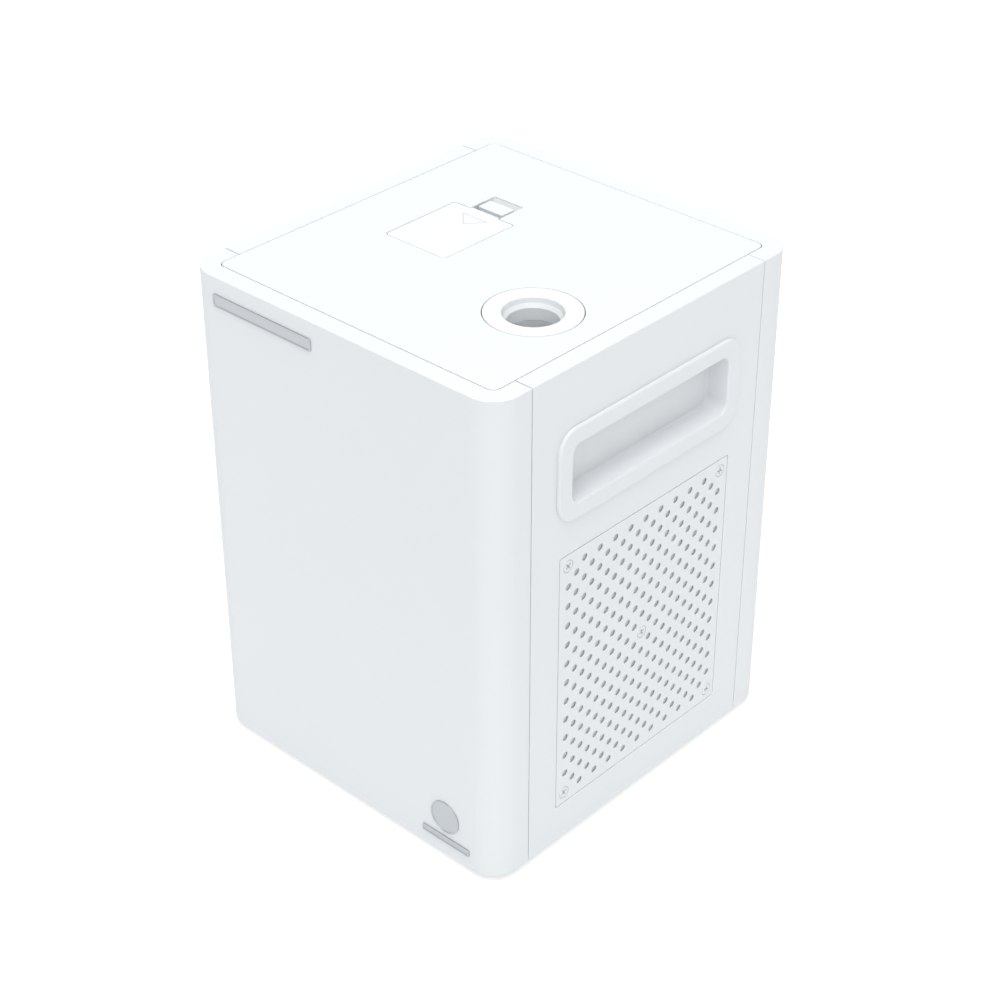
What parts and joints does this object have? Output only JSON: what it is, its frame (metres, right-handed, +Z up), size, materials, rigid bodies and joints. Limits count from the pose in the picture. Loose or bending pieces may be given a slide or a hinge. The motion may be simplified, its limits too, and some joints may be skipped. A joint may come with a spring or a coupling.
{
  "type": "cold spark fountain machine",
  "caption": "Free-standing white stage spark fountain: rounded upright housing, flush spark outlet, latched hopper lid, recessed side handles and perforated side grilles.",
  "frame": {"origin": "on the floor, under the middle of the housing", "axes": "+X to the right side with the visible grille, -Y the badge side (front), +Y the control panel, +Z up"},
  "size_m": [0.1958, 0.2064, 0.263],
  "materials": {
    "white_paint": "smooth white powder coat, satin",
    "white_plastic": "white moulded ABS, fine satin",
    "dark_plastic": "black moulded nylon, fine grain",
    "rubber_feet": "black, matt",
    "zinc_steel": "zinc-plated, satin",
    "stainless": "drawn stainless steel",
    "bright_aluminium": "satin anodised",
    "heater_wire": "oxidised copper alloy",
    "circuit_board": "green solder mask",
    "display_glass": "dark polished window",
    "red_plastic": "red polycarbonate",
    "silver_badge": "satin silver"
  },
  "bodies": {
    "housing": {"auger_tube": "stainless", "base_plate": "zinc_steel", "blower_cover": "dark_plastic", "blower_housing": "dark_plastic", "blower_motor": "zinc_steel", "chassis": "zinc_steel", "control_panel": "dark_plastic", "cooling_fan_frame": "dark_plastic", "display_window": "display_glass", "emblem_bar": "silver_badge", "emblem_disc": "silver_badge", "feed_motor": "zinc_steel", "foot_front_left": "rubber_feet", "foot_front_right": "rubber_feet", "foot_rear_left": "rubber_feet", "foot_rear_right": "rubber_feet", "front_cover": "white_paint", "fuse_holder": "dark_plastic", "heater_coil": "heater_wire", "heating_chamber": "stainless", "hopper": "bright_aluminium", "left_grille": "white_paint", "left_grille_screw_1": "zinc_steel", "left_grille_screw_2": "zinc_steel", "left_grille_screw_3": "zinc_steel", "left_grille_screw_4": "zinc_steel", "left_grille_screw_5": "zinc_steel", "left_handle_cup": "white_plastic", "left_side_panel": "white_paint", "lid_hinge_pin": "zinc_steel", "main_board": "circuit_board", "name_badge": "silver_badge", "nozzle_ring": "white_plastic", "power_inlet": "dark_plastic", "power_outlet": "dark_plastic", "power_supply": "bright_aluminium", "power_switch_frame": "dark_plastic", "rear_cover": "white_paint", "right_grille": "white_paint", "right_grille_screw_1": "zinc_steel", "right_grille_screw_2": "zinc_steel", "right_grille_screw_3": "zinc_steel", "right_grille_screw_4": "zinc_steel", "right_grille_screw_5": "zinc_steel", "right_handle_cup": "white_plastic", "right_side_panel": "white_paint", "signal_inlet": "dark_plastic", "signal_outlet": "dark_plastic", "spark_tube": "stainless", "top_plate": "white_paint"},
    "lid": {"hopper_lid": "white_plastic"},
    "latch": {"lid_latch": "white_plastic"},
    "feed_screw": {"feed_auger": "zinc_steel"},
    "blower_wheel": {"blower_impeller": "dark_plastic"},
    "fan_rotor": {"cooling_fan_rotor": "dark_plastic"},
    "menu_key": {"menu_button": "white_plastic"},
    "down_key": {"down_button": "white_plastic"},
    "up_key": {"up_button": "white_plastic"},
    "enter_key": {"enter_button": "white_plastic"},
    "mains_rocker": {"power_rocker": "red_plastic"}
  },
  "joints": [
    {"name": "lid_hinge", "type": "hinge", "parent": "housing", "child": "lid", "pos_m": [-0.03275, -0.02505, 0.2589], "axis": [1, 0, 0], "range_deg": [0, 100]},
    {"name": "latch_slide", "type": "slide", "parent": "lid", "child": "latch", "axis": [0, -1, 0], "range_m": [0, 0.0025], "stiffness_N_per_m": 300},
    {"name": "feed_screw_spin", "type": "hinge", "parent": "housing", "child": "feed_screw", "pos_m": [-0.03275, 0, 0.17635], "axis": [0.9441, -0.3296, 0], "continuous": true},
    {"name": "blower_wheel_spin", "type": "hinge", "parent": "housing", "child": "blower_wheel", "pos_m": [0.0509, -0.0002, 0.09305], "axis": [1, 0, 0], "continuous": true},
    {"name": "fan_rotor_spin", "type": "hinge", "parent": "housing", "child": "fan_rotor", "pos_m": [-0.0833, 0, 0.09535], "axis": [1, 0, 0], "continuous": true},
    {"name": "menu_press", "type": "slide", "parent": "housing", "child": "menu_key", "axis": [0, -1, 0], "range_m": [0, 0.0012], "stiffness_N_per_m": 500},
    {"name": "down_press", "type": "slide", "parent": "housing", "child": "down_key", "axis": [0, -1, 0], "range_m": [0, 0.0012], "stiffness_N_per_m": 500},
    {"name": "up_press", "type": "slide", "parent": "housing", "child": "up_key", "axis": [0, -1, 0], "range_m": [0, 0.0012], "stiffness_N_per_m": 500},
    {"name": "enter_press", "type": "slide", "parent": "housing", "child": "enter_key", "axis": [0, -1, 0], "range_m": [0, 0.0012], "stiffness_N_per_m": 500},
    {"name": "mains_rocker_tilt", "type": "hinge", "parent": "housing", "child": "mains_rocker", "pos_m": [0.014, 0.0985, 0.11], "axis": [-1, 0, 0], "range_deg": [0, 16]}
  ]
}
